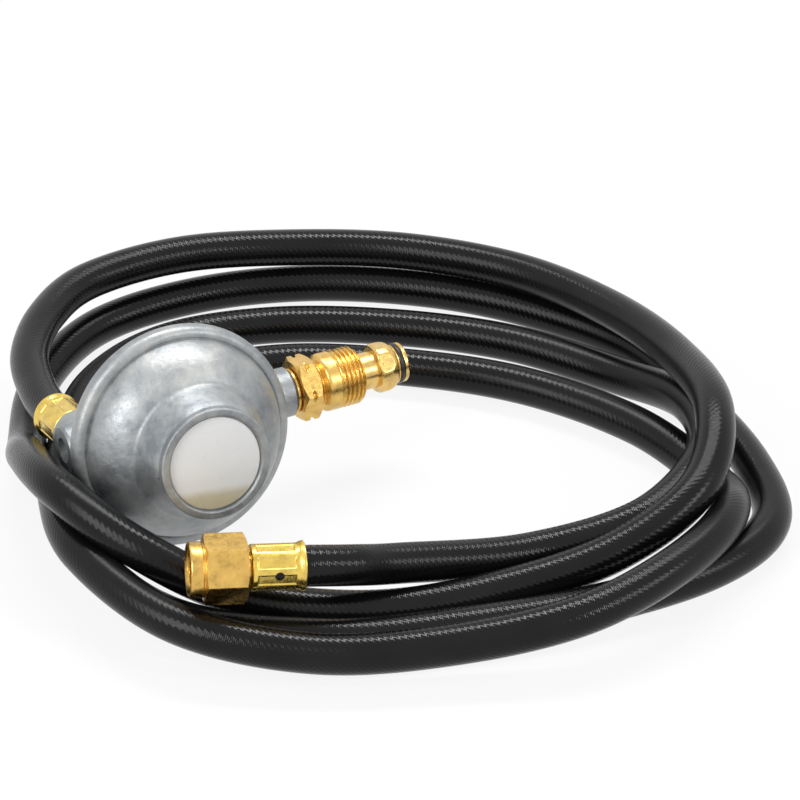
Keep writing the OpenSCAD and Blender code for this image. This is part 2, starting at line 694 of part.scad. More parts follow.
module outlet_tail() {
    top = outlet_face - tail_thread_l;
    flange = outlet_face + tail_flange_t;
    wide = tail_flange_d / 2;
    color("goldenrod") on_outlet() difference() {
        rotate_extrude() polygon(concat(
            [[0, outlet_mouth - 2], [stem_r - 0.9, outlet_mouth - 2]],
            [for (q = barbed(2, ferrule_l - 1.6)) [q[0], outlet_mouth - q[1]]],
            [[stem_r, flange], [wide, flange], [wide, outlet_face], [boss_thread_d / 2, outlet_face],
             [boss_thread_d / 2, top + 0.6], [boss_thread_d / 2 - 0.6, top], [0, top]]));
        translate([0, 0, top - 1]) cylinder(h = outlet_mouth - top, d = tail_bore);
    }
}

module flare_ferrule() {
    color("gold") on_flare() ferrule(true);
}

module flare_tail() {
    shoulder = nut_back + nut_wall + 0.2;
    color("goldenrod") on_flare() difference() {
        rotate_extrude() polygon(concat(
            [[0, 2], [stem_r - 0.9, 2]],
            barbed(2, ferrule_l - 1.6),
            [[stem_r, ferrule_l + 0.1], [neck_r, ferrule_l + 0.1], [neck_r, shoulder],
             [flare_thread_d / 2 - 0.7, shoulder], [flare_thread_d / 2 - 0.7, seat_z],
             [0, seat_z]]));
        translate([0, 0, 1]) cylinder(h = nut_mouth, d = tail_bore);
        translate([0, 0, seat_z - 3.4]) cylinder(h = 4.4, r1 = tail_bore / 2, r2 = tail_bore / 2 + 4.4);
    }
}

module flare_nut() {
    color("gold") on_flare() translate([0, 0, nut_back]) difference() {
        union() {
            rotate([0, 0, flare_roll]) hex_bar(flare_af, flare_hex_l, true, false);
            rotate_extrude() polygon([
                [0, flare_hex_l - 1], [flare_collar_d / 2, flare_hex_l - 1],
                [flare_collar_d / 2, flare_hex_l + flare_collar_l - 0.5],
                [flare_collar_d / 2 - 0.5, flare_hex_l + flare_collar_l],
                [0, flare_hex_l + flare_collar_l]]);
        }
        translate([0, 0, -1]) cylinder(h = nut_wall + 2, r = neck_r + run_gap);
        // relief behind the thread, the thread, and its chamfer
        translate([0, 0, nut_wall]) cylinder(h = seat_z - nut_back - nut_wall, r = flare_thread_d / 2 + 0.3);
        translate([0, 0, nut_wall + 1]) cylinder(h = nut_mouth, d = flare_thread_d);
        translate([0, 0, flare_hex_l + flare_collar_l - 0.6])
            cylinder(h = 0.7, r1 = flare_thread_d / 2, r2 = flare_thread_d / 2 + 0.7);
    }
}

// ---- hose ------------------------------------------------------------------

out_start = from_case([-outlet_off, 0, -outlet_mouth + ferrule_l - 1.1]);
out_mouth = from_case([-outlet_off, 0, -outlet_mouth]);
run = concat([out_mouth], [for (q = coil) from_coil(q)], [flare_p]);
last = len(run) - 1;

// Smooth curve through the coil's points, u from 0 to last
function bend(a, b, c, d, t) = 0.5 * (2 * b + t * (c - a) + t * t * (2 * a - 5 * b + 4 * c - d)
    + t * t * t * (3 * b - a - 3 * c + d));
function along(u) = let (i = min(floor(u), last - 1), t = u - i)
    bend(i == 0 ? out_mouth - norm(run[1] - run[0]) * unit(out_mouth - out_start) : run[i - 1],
         run[i], run[i + 1],
         i == last - 1 ? flare_p + norm(run[last] - run[last - 1]) * flare_dir : run[i + 2], t);
function unit(v) = v / norm(v);

route = concat([out_start],
    [for (i = [0:hose_rings - 1]) along(last * i / (hose_rings - 1))],
    [flare_p + (ferrule_l - 1.1) * flare_dir]);
top_i = len(route) - 1;
function heading(i) = i <= 1 ? unit(out_mouth - out_start) : i >= top_i - 1 ? flare_dir
    : unit(route[i + 1] - route[i - 1]);
function hose_ring(i, r) = let (t = heading(i), s = unit(cross(t, [0, 0, 1])), w = cross(s, t))
    [for (k = [0:hose_sides - 1]) let (a = 360 * (k + 0.5) / hose_sides)
        route[i] + r * (cos(a) * s + sin(a) * w)];

module hose() {
    n = hose_sides;
    m = len(route) * n;
    color("#222222") polyhedron(convexity = 20,
        points = concat([for (i = [0:top_i]) each hose_ring(i, hose_d / 2)],
                        [for (i = [0:top_i]) each hose_ring(i, hose_bore / 2)]),
        faces = concat(
            [for (i = [0:top_i - 1]) for (k = [0:n - 1]) for (h = [0, 1])
                let (a = i * n + k, b = i * n + (k + 1) % n)
                h == 0 ? [a, b, a + n] : [b, b + n, a + n]],
            [for (i = [0:top_i - 1]) for (k = [0:n - 1]) for (h = [0, 1])
                let (a = m + i * n + k, b = m + i * n + (k + 1) % n)
                h == 0 ? [a, a + n, b] : [b, a + n, b + n]],
            [for (k = [0:n - 1]) for (h = [0, 1]) let (b = (k + 1) % n)
                h == 0 ? [k, m + k, b] : [b, m + k, m + b]],
            [for (k = [0:n - 1]) for (h = [0, 1])
                let (e = top_i * n, b = (k + 1) % n)
                h == 0 ? [e + k, e + b, m + e + k] : [e + b, m + e + b, m + e + k]]));
}

// ---- the part --------------------------------------------------------------

body_casting();
bonnet();
label_disc();
adjuster_plug();
spring_button();
main_spring();
diaphragm();
diaphragm_plate();
diaphragm_stem();
lever();
lever_pin();
pin_screws();
valve_plunger();
valve_seat();
inlet_nozzle();
inlet_screen();
pol_spigot();
pol_nut();
nose_o_ring();
outlet_tail();
outlet_ferrule();
hose();
flare_ferrule();
flare_tail();
flare_nut();
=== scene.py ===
from math import cos, hypot, pi, radians, sin

import bmesh
import bpy
from mathutils import Matrix, Vector


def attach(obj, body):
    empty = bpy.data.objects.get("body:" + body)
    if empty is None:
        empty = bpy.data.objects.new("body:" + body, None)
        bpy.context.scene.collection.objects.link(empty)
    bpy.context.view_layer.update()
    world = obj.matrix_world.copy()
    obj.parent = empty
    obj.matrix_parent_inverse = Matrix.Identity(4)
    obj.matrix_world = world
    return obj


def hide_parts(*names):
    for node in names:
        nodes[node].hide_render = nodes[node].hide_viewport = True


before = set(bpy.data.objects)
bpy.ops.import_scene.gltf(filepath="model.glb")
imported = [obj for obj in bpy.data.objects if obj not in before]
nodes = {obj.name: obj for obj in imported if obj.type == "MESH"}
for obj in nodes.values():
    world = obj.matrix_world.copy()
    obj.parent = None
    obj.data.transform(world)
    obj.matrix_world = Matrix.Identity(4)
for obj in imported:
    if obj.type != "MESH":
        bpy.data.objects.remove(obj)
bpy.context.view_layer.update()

# ---- Table, camera and lamps ---------------------------------------------------
# The regulator and its hose lie on a pale table under soft studio lamps.
# Nothing here belongs to the product.

camera = bpy.data.objects.new("camera", bpy.data.cameras.new("camera"))
bpy.context.scene.collection.objects.link(camera)
bpy.context.scene.camera = camera
camera.location = (-0.4372, -1.0208, 0.7663)
look = Vector((0.08378, 0.03803, 0.0)) - camera.location
camera.rotation_euler = look.to_track_quat("-Z", "Y").to_euler()
camera.data.lens = 160
camera.data.sensor_width = 36
camera.data.clip_start = 0.05
bpy.context.scene.view_settings.view_transform = "Standard"


def link(tree, start, end):
    tree.links.new(start, end)


def seen_directly(tree):
    """1 for rays from the camera and for those that metal or glass sends on."""
    path = tree.nodes.new("ShaderNodeLightPath")
    either = tree.nodes.new("ShaderNodeMath")
    either.operation = "MAXIMUM"
    link(tree, path.outputs["Is Camera Ray"], either.inputs[0])
    link(tree, path.outputs["Is Glossy Ray"], either.inputs[1])
    all_three = tree.nodes.new("ShaderNodeMath")
    all_three.operation = "MAXIMUM"
    link(tree, either.outputs[0], all_three.inputs[0])
    link(tree, path.outputs["Is Transmission Ray"], all_three.inputs[1])
    return all_three.outputs[0]


world = bpy.data.worlds.new("studio")
bpy.context.scene.world = world
world.use_nodes = True
studio = world.node_tree
studio.nodes.clear()
surround = studio.nodes.new("ShaderNodeBackground")
surround.inputs["Color"].default_value = (0.93, 0.96, 1.0, 1)
surround.inputs["Strength"].default_value = 0.38
backdrop = studio.nodes.new("ShaderNodeBackground")
backdrop.inputs["Color"].default_value = (1, 1, 1, 1)
both = studio.nodes.new("ShaderNodeMixShader")
link(studio, seen_directly(studio), both.inputs[0])
link(studio, surround.outputs[0], both.inputs[1])
link(studio, backdrop.outputs[0], both.inputs[2])
link(studio, both.outputs[0], studio.nodes.new("ShaderNodeOutputWorld").inputs[0])

table = bpy.data.objects.new("table", bpy.data.meshes.new("table"))
bpy.context.scene.collection.objects.link(table)
table.data.from_pydata([(-6, -6, 0), (6, -6, 0), (6, 6, 0), (-6, 6, 0)], [], [(0, 1, 2, 3)])
table.location.z = -0.0004
pale = bpy.data.materials.new("pale_table")
pale.use_nodes = True
pale.node_tree.nodes.clear()
lit = pale.node_tree.nodes.new("ShaderNodeBsdfDiffuse")
lit.inputs["Color"].default_value = (0.9, 0.9, 0.9, 1)
white = pale.node_tree.nodes.new("ShaderNodeEmission")
white.inputs["Color"].default_value = (1, 1, 1, 1)
share = pale.node_tree.nodes.new("ShaderNodeMath")
share.operation = "MULTIPLY"
share.inputs[1].default_value = 0.88
link(pale.node_tree, seen_directly(pale.node_tree), share.inputs[0])
top = pale.node_tree.nodes.new("ShaderNodeMixShader")
link(pale.node_tree, share.outputs[0], top.inputs[0])
link(pale.node_tree, lit.outputs[0], top.inputs[1])
link(pale.node_tree, white.outputs[0], top.inputs[2])
link(pale.node_tree, top.outputs[0],
     pale.node_tree.nodes.new("ShaderNodeOutputMaterial").inputs[0])
table.data.materials.append(pale)


def softbox(name, place, aim, wide, deep, watts):
    lamp = bpy.data.objects.new(name, bpy.data.lights.new(name, "AREA"))
    bpy.context.scene.collection.objects.link(lamp)
    lamp.data.shape = "RECTANGLE"
    lamp.data.size, lamp.data.size_y = wide, deep
    lamp.data.energy = watts
    lamp.location = place
    lamp.rotation_euler = (Vector(aim) - lamp.location).to_track_quat("-Z", "Y").to_euler()
    return lamp


softbox("overhead_softbox", (0.35, 0.45, 1.25), (0.08, 0.0, 0), 1.1, 0.2, 12)
softbox("left_softbox", (-0.95, -0.35, 0.75), (0, 0, 0.04), 0.5, 0.7, 7)
softbox("right_softbox", (0.75, -1.1, 0.8), (0, 0, 0.04), 0.35, 0.35, 5)

# ---- Bowl casting ----------------------------------------------------------------
# The back half of the regulator, a zinc bowl die-cast in one piece with its inlet,
# outlet and blank bosses.  Its flange carries the diaphragm and the bonnet.

RIM_MIDDLE = (-0.02775, -0.0051673, 0.0417933)
FACE_TURN = 77.6                           # the labelled face leans back by the rest of 90
case_place = Matrix.Translation(RIM_MIDDLE) @ Matrix.Rotation(radians(FACE_TURN), 4, "X")


class Finish:
    """A material of nodes round one shader."""

    def __init__(self, name, colour, metal=0.0, rough=0.5):
        self.made = bpy.data.materials.new(name)
        self.made.use_nodes = True
        self.tree = self.made.node_tree
        self.skin = self.tree.nodes["Principled BSDF"]
        self.skin.inputs["Base Color"].default_value = (*colour, 1)
        self.skin.inputs["Metallic"].default_value = metal
        self.skin.inputs["Roughness"].default_value = rough

    def node(self, kind, **inputs):
        made = self.tree.nodes.new("ShaderNode" + kind)
        for key, number in inputs.items():
            made.inputs[key].default_value = number
        return made

    def place(self):
        return self.node("TexCoord").outputs["Object"]

    def worked(self, operation, a, b=0.0):
        """Arithmetic on two values, each a number or a node's output."""
        made = self.node("Math")
        made.operation = operation
        for spot, value in ((0, a), (1, b)):
            if isinstance(value, (int, float)):
                made.inputs[spot].default_value = value
            else:
                self.tree.links.new(value, made.inputs[spot])
        return made.outputs[0]

    def specks(self, scale, detail=4.0, rough=0.55):
        """Cloudy noise, scale in lumps to the metre."""
        made = self.node("TexNoise", Scale=scale, Detail=detail, Roughness=rough)
        self.tree.links.new(self.place(), made.inputs["Vector"])
        return made.outputs["Fac"]

    def spread(self, value, low, high, to_low=0.0, to_high=1.0):
        """Stretches the stretch low to high over to_low to to_high."""
        made = self.node("MapRange")
        self.tree.links.new(value, made.inputs["Value"])
        for key, number in (("From Min", low), ("From Max", high),
                            ("To Min", to_low), ("To Max", to_high)):
            made.inputs[key].default_value = number
        return made.outputs["Result"]

    def shades(self, value, *stops):
        """Colours a value by (position, colour) stops."""
        ramp = self.node("ValToRGB")
        self.tree.links.new(value, ramp.inputs[0])
        ramp.color_ramp.elements[0].position = stops[0][0]
        ramp.color_ramp.elements[0].color = (*stops[0][1], 1)
        ramp.color_ramp.elements[1].position = stops[-1][0]
        ramp.color_ramp.elements[1].color = (*stops[-1][1], 1)
        for at, colour in stops[1:-1]:
            ramp.color_ramp.elements.new(at).color = (*colour, 1)
        self.tree.links.new(ramp.outputs[0], self.skin.inputs["Base Color"])

    def rough(self, value):
        self.tree.links.new(value, self.skin.inputs["Roughness"])

    def bump(self, *heights):
        """Stacks bumps, each a height and how tall it is in metres."""
        below = None
        for height, tall in heights:
            made = self.node("Bump", Strength=1.0, Distance=tall)
            self.tree.links.new(height, made.inputs["Height"])
            if below:
                self.tree.links.new(below, made.inputs["Normal"])
            below = made.outputs["Normal"]
        self.tree.links.new(below, self.skin.inputs["Normal"])

    def on(self, *pieces):
        for piece in pieces:
            piece.data.materials.clear()
            piece.data.materials.append(self.made)


def cast_zinc(name, dark=0.0):
    """Mottled die-cast grey: cloudy shading, flow lines and a few pits."""
    zinc = Finish(name, (0.4, 0.415, 0.42), 0.8, 0.42)
    clouds = zinc.specks(38, 6, 0.62)
    flow = zinc.specks(150, 5, 0.7)
    mix = zinc.worked("ADD", zinc.worked("MULTIPLY", clouds, 0.68),
                      zinc.worked("MULTIPLY", flow, 0.32))
    zinc.shades(mix, (0.36, (0.22 - dark, 0.24 - dark, 0.255 - dark)),
                (0.47, (0.325 - dark, 0.34 - dark, 0.348 - dark)),
                (0.55, (0.375 - dark, 0.385 - dark, 0.385 - dark)),
                (0.66, (0.47 - dark, 0.475 - dark, 0.46 - dark)))
    zinc.rough(zinc.spread(zinc.specks(70, 6, 0.65), 0.32, 0.68, 0.38, 0.56))
    pits = zinc.spread(zinc.specks(1500, 3), 0.62, 0.75, 0.0, -1.0)
    zinc.bump((clouds, 0.0007), (zinc.specks(420, 5, 0.6), 0.00012), (pits, 0.00006))
    return zinc


bowl_zinc = cast_zinc("cast_bowl_zinc", 0.03)
bowl_zinc.on(nodes["body_casting"])

# ---- Inlet valve -----------------------------------------------------------------
# A brass nozzle with a wire screen, and the plunger that carries a rubber seat
# against it.  A bent steel lever on a pin, held by two screws, moves the plunger.


def turned_brass(name, colour=(0.68, 0.44, 0.13), rough=0.22, ring=0.00035):
    """Machined brass: tool rings along the axis, stains and fine scratches."""
    brass = Finish(name, colour, 1.0, rough)
    axis = brass.node("SeparateXYZ")
    link(brass.tree, brass.place(), axis.inputs[0])
    wander = brass.worked("MULTIPLY", brass.specks(300, 2), 0.0004)
    wandering = brass.worked("ADD", axis.outputs[2], wander)
    rings = brass.worked("SINE", brass.worked("MULTIPLY", wandering, 2 * pi / ring))
    stains = brass.specks(230, 6, 0.65)
    brass.shades(stains, (0.32, tuple(c * 0.72 for c in colour)),
                 (0.5, colour), (0.68, tuple(min(1, c * 1.14) for c in colour)))
    brass.rough(brass.spread(brass.specks(500, 6, 0.7), 0.3, 0.7, rough - 0.07, rough + 0.16))
    brass.bump((stains, 0.00006), (rings, 0.000004), (brass.specks(2600, 3), 0.000012))
    return brass


def plain_steel(name, colour=(0.55, 0.55, 0.56), rough=0.3):
    """Bright steel with a little brushing and oil stain."""
    steel = Finish(name, colour, 1.0, rough)
    stain = steel.specks(180, 5)
    steel.shades(stain, (0.35, tuple(c * 0.75 for c in colour)), (0.65, colour))
    steel.rough(steel.spread(stain, 0.3, 0.7, rough - 0.06, rough + 0.12))
    steel.bump((steel.specks(1800, 3), 0.00001))
    return steel


def dull_rubber(name, colour=(0.025, 0.025, 0.026), rough=0.55):
    """Moulded rubber with a faint bloom."""
    rubber = Finish(name, colour, 0.0, rough)
    bloom = rubber.specks(260, 5)
    rubber.shades(bloom, (0.4, tuple(c * 0.7 for c in colour)),
                  (0.65, tuple(c * 1.5 + 0.004 for c in colour)))
    rubber.bump((rubber.specks(3000, 3), 0.00001))
    return rubber


valve_brass = turned_brass("valve_brass", ring=0.0002)
valve_brass.on(nodes["inlet_nozzle"], nodes["valve_plunger"])
turned_brass("screen_brass", (0.62, 0.45, 0.2)).on(nodes["inlet_screen"])
dull_rubber("seat_rubber").on(nodes["valve_seat"])
lever_steel = plain_steel("lever_steel")
lever_steel.on(nodes["lever"], nodes["lever_pin"])
plain_steel("screw_steel", (0.36, 0.34, 0.30), 0.38).on(nodes["pin_screws"])

# ---- Diaphragm and spring ----------------------------------------------------------
# A moulded rubber diaphragm is clamped at the rim, with a pressed steel plate and a
# brass stem riveted through it.  The coiled steel spring above it sets the pressure.

dull_rubber("diaphragm_rubber", (0.03, 0.03, 0.031)).on(nodes["diaphragm"])
plain_steel("plate_steel", (0.6, 0.6, 0.58)).on(nodes["diaphragm_plate"])
valve_brass.on(nodes["diaphragm_stem"])
plain_steel("spring_steel", (0.42, 0.43, 0.46), 0.24).on(nodes["main_spring"])
plain_steel("button_steel", (0.52, 0.52, 0.5), 0.34).on(nodes["spring_button"])
cast_zinc("plug_zinc", 0.06).on(nodes["adjuster_plug"])

# ---- Bonnet ------------------------------------------------------------------------
# The domed front half, die-cast in zinc, with its rim rolled over the bowl's flange.
# The tower holds the spring, and a small drilled hole in it lets the bonnet breathe.

MM = 0.001


def mesh_piece(name, points, faces, place=Matrix.Identity(4)):
    piece = bpy.data.objects.new(name, bpy.data.meshes.new(name))
    piece.data.from_pydata([tuple(p) for p in points], [], faces)
    bpy.context.scene.collection.objects.link(piece)
    piece.matrix_world = place
    return piece


def eased(corners, steps=5):
    """Outline through (radius, height, rounding) corners, each corner rounded."""
    line = []
    for i, (r, z, ease) in enumerate(corners):
        here = Vector((r, z))
        if ease == 0 or i in (0, len(corners) - 1):
            line.append(here)
            continue
        back = Vector(corners[i - 1][:2]) - here
        on = Vector(corners[i + 1][:2]) - here
        a = here + back.normalized() * min(ease, back.length * 0.49)
        c = here + on.normalized() * min(ease, on.length * 0.49)
        line += [a.lerp(here, t).lerp(here.lerp(c, t), t)
                 for t in (k / steps for k in range(steps + 1))]
    return [(p[0], p[1]) for p in line]


def arc(r, z, radius, start, end, steps):
    """Points of an arc round (r, z), angles in degrees."""
    turns = [radians(start + (end - start) * k / steps) for k in range(steps + 1)]
    return [(r + radius * cos(t), z + radius * sin(t)) for t in turns]


def turned(name, rows, place, sides=144, cut=None, hollow=True, crease=30):
    """Revolve of (radius, height) rows in mm.

    A row with a third item gets its radius from cut(radius, height, angle).
    """
    points = []
    for row in rows:
        for k in range(sides):
            a = 2 * pi * k / sides
            r = cut(row[0], row[1], a) if cut and len(row) > 2 else row[0]
            points.append((r * cos(a) * MM, r * sin(a) * MM, row[1] * MM))
    faces = []
    for i in range(len(rows) if hollow else len(rows) - 1):
        j = (i + 1) % len(rows)
        for k in range(sides):
            m = (k + 1) % sides
            faces.append((i * sides + k, i * sides + m, j * sides + m, j * sides + k))
    if not hollow:
        faces.append([k for k in range(sides - 1, -1, -1)])
        faces.append([(len(rows) - 1) * sides + k for k in range(sides)])
    piece = mesh_piece(name, points, faces, place)
    shell = bmesh.new()
    shell.from_mesh(piece.data)
    bmesh.ops.recalc_face_normals(shell, faces=shell.faces)
    shell.to_mesh(piece.data)
    shell.free()
    for poly in piece.data.polygons:
        poly.use_smooth = True
    piece.data.set_sharp_from_angle(angle=radians(crease))
    return piece


def drilled(piece, start, end, wide):
    """Bores a round hole between two points of the piece's own frame, in mm."""
    start, end = Vector(start) * MM, Vector(end) * MM
    spin = (end - start).to_track_quat("Z", "Y").to_matrix().to_4x4()
    ring = [(wide / 2 * MM * cos(2 * pi * k / 28), wide / 2 * MM * sin(2 * pi * k / 28))
            for k in range(28)]
    points = [(x, y, z) for z in (0, (end - start).length) for x, y in ring]
    faces = [(k, (k + 1) % 28, 28 + (k + 1) % 28, 28 + k) for k in range(28)]
    faces += [list(range(27, -1, -1)), list(range(28, 56))]
    drill = mesh_piece("drill", points, faces,
                       piece.matrix_world @ Matrix.Translation(start) @ spin)
    bore = piece.modifiers.new("bore", "BOOLEAN")
    bore.object, bore.operation, bore.solver = drill, "DIFFERENCE", "EXACT"
    bpy.context.view_layer.update()
    made = piece.evaluated_get(bpy.context.evaluated_depsgraph_get())
    piece.data = bpy.data.meshes.new_from_object(made)
    piece.modifiers.clear()
    bpy.data.objects.remove(drill)
    piece.data.set_sharp_from_angle(angle=radians(30))


def beside(turn, out, along):
    """Point at a turn in degrees, a distance out from the axis and a height."""
    return out * cos(radians(turn)), out * sin(radians(turn)), along


VENT_HOLE, VENT_TURN, VENT_UP = 1.3, 183, 31.6
bonnet_rows = (
    eased([(36.0, -4.0, 0), (39.6, -4.0, 0)])
    + arc(39.5, -1.0, 3.0, -84, 0, 10) + arc(39.5, 1.0, 3.0, 6, 84, 10)
    + eased([(39.3, 4.0, 0), (38.75, 4.0, 0.4), (38.1, 3.55, 0.3), (37.95, 4.6, 0)])
    + arc(15.819, -1.195, 22.9, 15.6, 58.2, 40)
    + eased([(27.7, 18.38, 0), (26.2, 19.25, 0.5), (25.3, 20.3, 2.2), (22.2, 29.9, 0.6),
             (21.65, 31.1, 0.4), (21.25, 31.9, 0.4), (21.25, 35.0, 0.8), (18.3, 35.0, 0.5),
             (17.8, 34.2, 0.3), (17.8, 33.1, 0.1), (16.05, 33.1, 0.1), (16.05, 22.9, 0.1),
             (20.5, 22.4, 0)], 6)
    + arc(15.819, -1.195, 20.5, 76.8, 18, 16)
    + [(33.5, 4.0), (33.5, 1.4), (39.5, 1.4), (39.5, -2.3), (36.0, -2.3)])
bonnet = turned("bonnet_shell", bonnet_rows, case_place, 216, crease=38)
drilled(bonnet, beside(VENT_TURN, 15.4, VENT_UP), beside(VENT_TURN, 23.0, VENT_UP), VENT_HOLE)
cast_zinc("cast_bonnet_zinc").on(bonnet)
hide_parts("bonnet")
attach(bonnet, "regulator")

# ---- Label -------------------------------------------------------------------------
# A round plastic-coated paper label, stuck over the adjusting plug in the mouth of
# the tower.  It carries no print; its lower edge has yellowed.

label_edge = eased([(4, 33.1, 0), (17.5, 33.1, 0.1), (17.5, 33.42, 0.12), (17.2, 33.5, 0.1),
                    (9, 33.46, 0)], 3)
label = turned("label", [(0.4, 33.1), *label_edge, (0.4, 33.46)], case_place, 120, hollow=False)
paper = Finish("coated_label_paper", (0.88, 0.88, 0.87), 0.0, 0.3)
paper.skin.inputs["Coat Weight"].default_value = 0.35
paper.skin.inputs["Coat Roughness"].default_value = 0.12
across = paper.node("SeparateXYZ")
link(paper.tree, paper.place(), across.inputs[0])
tilt = paper.worked("ADD", across.outputs[1], paper.worked("MULTIPLY", across.outputs[0], 0.12))
worn = paper.worked("ADD", tilt, paper.worked("MULTIPLY", paper.specks(120, 4), 0.0016))
paper.shades(paper.spread(worn, -0.0165, 0.012), (0.0, (0.56, 0.50, 0.33)),
             (0.17, (0.62, 0.57, 0.42)), (0.28, (0.86, 0.855, 0.83)), (0.5, (0.89, 0.89, 0.885)),
             (1.0, (0.9, 0.9, 0.9)))
paper.rough(paper.spread(paper.specks(90, 4), 0.3, 0.7, 0.24, 0.38))
paper.bump((paper.specks(140, 3), 0.00025), (paper.specks(1500, 4), 0.00001))
paper.on(label)
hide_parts("label_disc")
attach(label, "regulator")

# ---- Cylinder fitting's spigot -------------------------------------------------------
# Turned from hexagon brass bar: a threaded shank in the inlet boss, a bare stem, and
# the bull nose whose O-ring seals inside the cylinder valve.  The gas bore runs through.

INLET_BACK = -0.014                        # inlet line behind the middle of the rim
inlet_place = (case_place @ Matrix.Translation((0, 0, INLET_BACK))
               @ Matrix.Rotation(pi / 2, 4, "Y"))


def across_flats(af, turn=0.0):
    """Radius of a hexagon bar at an angle."""
    def edge(a):
        return af / 2 / cos((a - turn + pi / 6) % (pi / 3) - pi / 6)
    return edge


def close_rows(line, step, mark=False):
    """Adds rows between the points of an outline, about a step apart in height."""
    rows = []
    for (r, z), (s, y) in zip(line, line[1:]):
        n = max(1, round(hypot(s - r, y - z) / step))
        rows += [(r + (s - r) * k / n, z + (y - z) * k / n) + ((True,) if mark else ())
                 for k in range(n)]
    return rows + [line[-1] + ((True,) if mark else ())]


NOSE_FLATS = 17.8
nose_hexagon = across_flats(NOSE_FLATS, pi / 6)
nose_outline = eased([(7.2, 85.2, 0), (8.9, 85.2, 0.2), (9.6, 86.1, 0.3), (9.6, 88.8, 0)], 3)
nose_outline += arc(3.6, 88.8, 6.0, 8, 52, 8) + [(7.5, 93.8)]
spigot = turned("nose_spigot", [
    (2.5, 36.2), (5.9, 36.2), (6.45, 36.8), (6.45, 50.45), (8.2, 50.45), (8.6, 50.8),
    (8.6, 51.6), (8.3, 51.9), (7.2, 51.9), (7.2, 60.0), (7.2, 84.9),
    *close_rows(nose_outline, 0.3, True),
    (7.2, 93.85), (6.1, 93.9), (5.9, 94.1), (5.9, 95.9), (6.1, 96.0), (7.5, 96.0), (7.68, 96.2),
    (7.6, 97.1), (7.35, 97.5), (6.9, 97.85), (6.3, 98.0), (4.9, 98.0), (4.6, 97.8), (4.6, 96.6),
    (2.5, 96.5)], inlet_place, 180,
    cut=lambda r, z, a: min(r, nose_hexagon(a)), crease=24)
turned_brass("nose_brass", (0.74, 0.50, 0.17), 0.2).on(spigot)
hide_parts("pol_spigot")
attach(spigot, "regulator")

o_ring = turned("nose_ring", arc(6.95, 94.9, 1.0, 0, 345, 23), inlet_place, 120, crease=60)
dull_rubber("ring_rubber", (0.012, 0.012, 0.013), 0.32).on(o_ring)
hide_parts("nose_o_ring")
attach(o_ring, "regulator")

# ---- Cylinder nut --------------------------------------------------------------------
# A loose brass nut on the stem with an outside left-hand thread, 14 turns to the inch.
# Nicks in the corners of its hexagon mark the left-hand thread.

NUT_BACK = 52.2                            # nut's back face along the inlet line
LEFT_PITCH = 1.814                         # 14 turns to the inch
NUT_FLATS = 22.2
HEXAGON_LONG = 7.7
THREAD_FROM, THREAD_TO = 15.6, 26.4        # along the nut from its back face
nut_hexagon = across_flats(NUT_FLATS, pi / 6)


def nut_skin(r, z, a):
    """Hexagon, corner nicks and helical thread of the cylinder nut."""
    along = z - NUT_BACK
    if along < HEXAGON_LONG:
        corner = abs((a + pi / 6) % (pi / 3) - pi / 6)                # 0 at a corner
        flat = nut_hexagon(a)
        nick = max(0.0, 1 - abs(along - 3.8) / 0.9) * max(0.0, 1 - corner / 0.2)
        return min(r, flat - 1.15 * min(1.0, 1.7 * nick))
    if along > THREAD_FROM:
        phase = (z / LEFT_PITCH + a / (2 * pi)) % 1.0                 # left-hand
        valley = min(1.0, max(0.0, (abs(2 * phase - 1) - 0.18) / 0.62))
        fade = (min(1.0, (along - THREAD_FROM) / 1.2)
                * min(1.0, max(0.0, (THREAD_TO - along) / 0.8)))
        return r - 1.05 * valley * fade
    return r


nut_outline = [(11.0, NUT_BACK), (12.85, 53.35), (12.85, 58.7), (11.1, 59.75)]
nut_neck = eased([(10.9, 59.8, 0), (8.75, 61.3, 0.5), (10.9, 62.9, 0.4), (11.24, 63.7, 0.5),
                  (11.24, 67.4, 0.5)], 5)
nut = turned("cylinder_nut", [
    (7.26, NUT_BACK), (7.8, NUT_BACK), (9.5, NUT_BACK),
    *close_rows(nut_outline, 0.16, True), *close_rows(nut_neck, 0.5),
    *close_rows([(11.24, 67.8), (11.24, 76.5), (9.9, 78.1)], 0.13, True),
    (9.6, 78.3), (7.9, 78.3), (7.26, 77.9)], inlet_place, 216, cut=nut_skin, crease=27)
turned_brass("nut_brass", (0.70, 0.45, 0.13), 0.24).on(nut)
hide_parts("pol_nut")
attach(nut, "cylinder_nut")

# ---- Outlet ferrule --------------------------------------------------------------------
# The hose end is pushed over a barbed brass tail that screws into the outlet boss.
# A thin brass shell is crimped round it in eight flat strips.

outlet_place = (case_place @ Matrix.Translation((-0.031, 0, 0))
                @ Matrix.Rotation(pi, 4, "X"))
OUTLET_MOUTH = 0.048                       # ferrule's mouth along the outlet line
FERRULE_LONG = 0.0196
FERRULE_R = 8.45


def crimped(r, z, a):
    """Eight sunk strips with round corners, each pressed nearly flat."""
    turn = (a - pi / 8) % (pi / 4) - pi / 8
    wide, long = abs(turn) * FERRULE_R, abs(z - 10.6)
    inside = min(2.3 - wide, 7.0 - long, 3.1 - hypot(max(0, wide - 1.2), max(0, long - 5.9)) * 2.2)
    sunk = min(1.0, max(0.0, inside / 0.45))
    sunk = sunk * sunk * (3 - 2 * sunk)
    flat = FERRULE_R / cos(turn) * cos(pi / 8) + 0.1
    return r + (min(r - 0.12, flat) - r) * sunk


